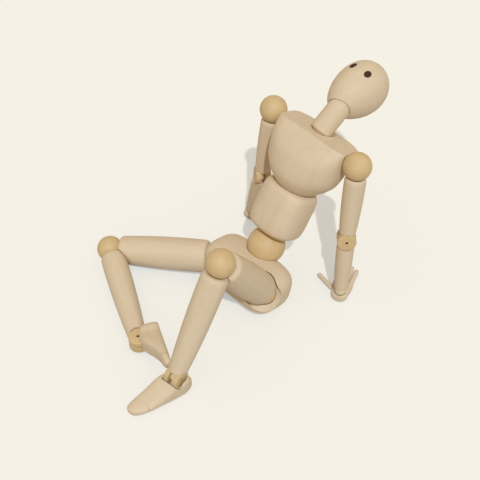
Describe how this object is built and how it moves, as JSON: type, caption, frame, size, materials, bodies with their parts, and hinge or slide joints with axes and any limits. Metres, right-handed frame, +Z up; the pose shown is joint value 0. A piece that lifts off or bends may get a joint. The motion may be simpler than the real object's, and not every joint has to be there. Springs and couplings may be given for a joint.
{
  "type": "artist mannequin",
  "caption": "Jointed wooden drawing figure with turned limbs on balls, cords and pinned drums, seated with one knee raised and leaning back on both hands.",
  "frame": {"origin": "bottom centre of the bounding box, on the floor the figure sits on", "axes": "+Z up, -Y the way the figure faces, +X to the figure's left"},
  "size_m": [0.1268, 0.2008, 0.1128],
  "materials": {
    "pale_wood": "smooth sanded beech, matt",
    "tan_wood": "smooth turned wood, a shade darker",
    "dark_eye": "dark brown, satin",
    "steel_pin": "plain steel pin",
    "elastic_cord": "covered elastic cord"
  },
  "bodies": {
    "pelvis": {"pelvis": "pale_wood"},
    "waist_ball": {"waist_ball": "tan_wood", "waist_cord": "elastic_cord"},
    "abdomen": {"abdomen": "pale_wood"},
    "chest": {"chest": "pale_wood"},
    "neck": {"neck": "pale_wood", "neck_cord": "elastic_cord"},
    "head": {"head": "pale_wood", "eye_left": "dark_eye", "eye_right": "dark_eye"},
    "left_shoulder_ball": {"left_shoulder_ball": "tan_wood", "left_shoulder_cord": "elastic_cord"},
    "left_upper_arm": {"left_upper_arm": "pale_wood", "left_elbow_drum": "tan_wood", "left_elbow_pin": "steel_pin"},
    "left_forearm": {"left_forearm": "pale_wood", "left_wrist_cord": "elastic_cord"},
    "left_palm": {"left_palm": "pale_wood"},
    "left_index_finger": {"left_index_finger": "pale_wood"},
    "left_middle_finger": {"left_middle_finger": "pale_wood"},
    "left_ring_finger": {"left_ring_finger": "pale_wood"},
    "left_little_finger": {"left_little_finger": "pale_wood"},
    "left_thumb": {"left_thumb": "pale_wood"},
    "left_hip_ball": {"left_hip_ball": "tan_wood", "left_hip_cord": "elastic_cord"},
    "left_thigh": {"left_thigh": "pale_wood"},
    "left_knee_ball": {"left_knee_ball": "tan_wood", "left_knee_cord": "elastic_cord"},
    "left_shin": {"left_shin": "pale_wood", "left_ankle_drum": "tan_wood", "left_ankle_pin": "steel_pin"},
    "left_foot": {"left_foot": "pale_wood"},
    "left_toe": {"left_toe": "pale_wood"},
    "right_shoulder_ball": {"right_shoulder_ball": "tan_wood", "right_shoulder_cord": "elastic_cord"},
    "right_upper_arm": {"right_upper_arm": "pale_wood", "right_elbow_drum": "tan_wood", "right_elbow_pin": "steel_pin"},
    "right_forearm": {"right_forearm": "pale_wood", "right_wrist_cord": "elastic_cord"},
    "right_palm": {"right_palm": "pale_wood"},
    "right_index_finger": {"right_index_finger": "pale_wood"},
    "right_middle_finger": {"right_middle_finger": "pale_wood"},
    "right_ring_finger": {"right_ring_finger": "pale_wood"},
    "right_little_finger": {"right_little_finger": "pale_wood"},
    "right_thumb": {"right_thumb": "pale_wood"},
    "right_hip_ball": {"right_hip_ball": "tan_wood", "right_hip_cord": "elastic_cord"},
    "right_thigh": {"right_thigh": "pale_wood"},
    "right_knee_ball": {"right_knee_ball": "tan_wood", "right_knee_cord": "elastic_cord"},
    "right_shin": {"right_shin": "pale_wood", "right_ankle_drum": "tan_wood", "right_ankle_pin": "steel_pin"},
    "right_foot": {"right_foot": "pale_wood"},
    "right_toe": {"right_toe": "pale_wood"}
  },
  "joints": [
    {"name": "waist_bend", "type": "hinge", "parent": "pelvis", "child": "waist_ball", "pos_m": [0.01713, 0.01482, 0.02592], "axis": [0.9993, -0.0342, -0.0142], "range_deg": [-8, 15], "deforming": ["waist_cord"]},
    {"name": "waist_twist", "type": "hinge", "parent": "waist_ball", "child": "abdomen", "pos_m": [0.01713, 0.01482, 0.02592], "axis": [0.03, 0.5229, 0.8519], "range_deg": [-12, 12], "deforming": ["waist_cord"]},
    {"name": "chest_lean", "type": "hinge", "parent": "abdomen", "child": "chest", "pos_m": [0.01866, 0.04149, 0.06936], "axis": [0.0217, 0.8517, -0.5236], "range_deg": [-6, 6], "deforming": ["waist_cord"]},
    {"name": "neck_tilt", "type": "hinge", "parent": "chest", "child": "neck", "pos_m": [0.01974, 0.05615, 0.09113], "axis": [0.9915, -0.0998, -0.0832], "range_deg": [-10, 10], "deforming": ["neck_cord"]},
    {"name": "head_turn", "type": "hinge", "parent": "neck", "child": "head", "pos_m": [0.02083, 0.06244, 0.09659], "axis": [0.1299, 0.7493, 0.6494], "range_deg": [-35, 35], "deforming": ["neck_cord"]},
    {"name": "left_shoulder_swing", "type": "hinge", "parent": "chest", "child": "left_shoulder_ball", "pos_m": [0.04908, 0.04604, 0.08604], "axis": [0.9993, -0.0342, -0.0142], "range_deg": [-10, 60], "deforming": ["left_shoulder_cord"]},
    {"name": "left_shoulder_raise", "type": "hinge", "parent": "left_shoulder_ball", "child": "left_upper_arm", "pos_m": [0.04908, 0.04604, 0.08604], "axis": [-0.0217, -0.8517, 0.5236], "range_deg": [0, 45], "deforming": ["left_shoulder_cord"]},
    {"name": "left_elbow", "type": "hinge", "parent": "left_upper_arm", "child": "left_forearm", "pos_m": [0.05403, 0.03782, 0.04167], "axis": [0.6537, -0.7277, 0.2077], "range_deg": [-8, 60]},
    {"name": "left_wrist", "type": "hinge", "parent": "left_forearm", "child": "left_palm", "pos_m": [0.05858, 0.03202, 0.00704], "axis": [-0.898, -0.44, 0], "range_deg": [-15, 15], "deforming": ["left_wrist_cord"]},
    {"name": "left_index_finger_lift", "type": "hinge", "parent": "left_palm", "child": "left_index_finger", "pos_m": [0.05046, 0.03913, 0.00184], "axis": [0.8471, 0.5315, 0], "range_deg": [0, 25]},
    {"name": "left_middle_finger_lift", "type": "hinge", "parent": "left_palm", "child": "left_middle_finger", "pos_m": [0.05281, 0.04065, 0.00184], "axis": [0.8821, 0.4711, 0], "range_deg": [0, 25]},
    {"name": "left_ring_finger_lift", "type": "hinge", "parent": "left_palm", "child": "left_ring_finger", "pos_m": [0.05532, 0.04183, 0.00184], "axis": [0.9198, 0.3924, 0], "range_deg": [0, 25]},
    {"name": "left_little_finger_lift", "type": "hinge", "parent": "left_palm", "child": "left_little_finger", "pos_m": [0.058, 0.04266, 0.00184], "axis": [0.9391, 0.3437, 0], "range_deg": [0, 25]},
    {"name": "left_thumb_lift", "type": "hinge", "parent": "left_palm", "child": "left_thumb", "pos_m": [0.05139, 0.03317, 0.00184], "axis": [0.189, 0.982, 0], "range_deg": [0, 3]},
    {"name": "left_hip_swing", "type": "hinge", "parent": "pelvis", "child": "left_hip_ball", "pos_m": [0.03253, -0.00282, 0.01418], "axis": [0.5414, 0.7236, 0.4282], "range_deg": [0, 45], "deforming": ["left_hip_cord"]},
    {"name": "left_hip_roll", "type": "hinge", "parent": "left_hip_ball", "child": "left_thigh", "pos_m": [0.03253, -0.00282, 0.01418], "axis": [0.0426, -0.5322, 0.8455], "range_deg": [0, 12], "deforming": ["left_hip_cord"]},
    {"name": "left_knee_roll", "type": "hinge", "parent": "left_thigh", "child": "left_knee_ball", "pos_m": [0.03533, -0.03773, 0.06965], "axis": [-0.9975, -0.0708, 0.0057], "range_deg": [0, 40], "deforming": ["left_knee_cord"]},
    {"name": "left_knee_bend", "type": "hinge", "parent": "left_knee_ball", "child": "left_shin", "pos_m": [0.03533, -0.03773, 0.06965], "axis": [-0.9975, -0.0708, 0.0057], "range_deg": [0, 60], "deforming": ["left_knee_cord"]},
    {"name": "left_ankle", "type": "hinge", "parent": "left_shin", "child": "left_foot", "pos_m": [0.03753, -0.0733, 0.01268], "axis": [0.9895, 0.1365, -0.0471], "range_deg": [-15, 4]},
    {"name": "left_toe_lift", "type": "hinge", "parent": "left_foot", "child": "left_toe", "pos_m": [0.034, -0.08967, 0.00239], "axis": [0.9906, 0.1367, 0], "range_deg": [-8, 8]},
    {"name": "right_shoulder_swing", "type": "hinge", "parent": "chest", "child": "right_shoulder_ball", "pos_m": [-0.01088, 0.04809, 0.0869], "axis": [0.9993, -0.0342, -0.0142], "range_deg": [-10, 60], "deforming": ["right_shoulder_cord"]},
    {"name": "right_shoulder_raise", "type": "hinge", "parent": "right_shoulder_ball", "child": "right_upper_arm", "pos_m": [-0.01088, 0.04809, 0.0869], "axis": [0.0217, 0.8517, -0.5236], "range_deg": [0, 45], "deforming": ["right_shoulder_cord"]},
    {"name": "right_elbow", "type": "hinge", "parent": "right_upper_arm", "child": "right_forearm", "pos_m": [-0.01179, 0.04128, 0.04202], "axis": [0.6143, 0.7782, -0.1305], "range_deg": [-8, 40]},
    {"name": "right_wrist", "type": "hinge", "parent": "right_forearm", "child": "right_palm", "pos_m": [-0.02017, 0.04213, 0.00763], "axis": [-0.9684, -0.2496, 0], "range_deg": [-15, 15], "deforming": ["right_wrist_cord"]},
    {"name": "right_index_finger_lift", "type": "hinge", "parent": "right_palm", "child": "right_index_finger", "pos_m": [-0.01862, 0.0528, 0.00243], "axis": [0.9891, 0.147, 0], "range_deg": [0, 25]},
    {"name": "right_middle_finger_lift", "type": "hinge", "parent": "right_palm", "child": "right_middle_finger", "pos_m": [-0.02139, 0.05243, 0.00243], "axis": [0.9765, 0.2156, 0], "range_deg": [0, 25]},
    {"name": "right_ring_finger_lift", "type": "hinge", "parent": "right_palm", "child": "right_ring_finger", "pos_m": [-0.02407, 0.05169, 0.00243], "axis": [0.954, 0.2999, 0], "range_deg": [0, 25]},
    {"name": "right_little_finger_lift", "type": "hinge", "parent": "right_palm", "child": "right_little_finger", "pos_m": [-0.02665, 0.05058, 0.00243], "axis": [0.937, 0.3494, 0], "range_deg": [0, 25]},
    {"name": "right_thumb_lift", "type": "hinge", "parent": "right_palm", "child": "right_thumb", "pos_m": [-0.01539, 0.04768, 0.00243], "axis": [0.9022, -0.4313, 0], "range_deg": [0, 3]},
    {"name": "right_hip_swing", "type": "hinge", "parent": "pelvis", "child": "right_hip_ball", "pos_m": [-0.00187, -0.00282, 0.01418], "axis": [-0.5414, 0.7236, 0.4282], "range_deg": [-10, 0], "deforming": ["right_hip_cord"]},
    {"name": "right_hip_roll", "type": "hinge", "parent": "right_hip_ball", "child": "right_thigh", "pos_m": [-0.00187, -0.00282, 0.01418], "axis": [-0.8232, -0.5598, -0.095], "range_deg": [0, 12], "deforming": ["right_hip_cord"]},
    {"name": "right_knee_roll", "type": "hinge", "parent": "right_thigh", "child": "right_knee_ball", "pos_m": [-0.05587, -0.03954, 0.00795], "axis": [0.0355, 0.1161, -0.9926], "range_deg": [0, 40], "deforming": ["right_knee_cord"]},
    {"name": "right_knee_bend", "type": "hinge", "parent": "right_knee_ball", "child": "right_shin", "pos_m": [-0.05587, -0.03954, 0.00795], "axis": [0.0355, 0.1161, -0.9926], "range_deg": [0, 60], "deforming": ["right_knee_cord"]},
    {"name": "right_ankle", "type": "hinge", "parent": "right_shin", "child": "right_foot", "pos_m": [0.00405, -0.06993, 0.00654], "axis": [0.0187, -0.0095, 0.9998], "range_deg": [-60, 0]},
    {"name": "right_toe_lift", "type": "hinge", "parent": "right_foot", "child": "right_toe", "pos_m": [0.02288, -0.06833, 0.01194], "axis": [0.0185, -0.0099, 0.9998], "range_deg": [-8, 0]}
  ]
}
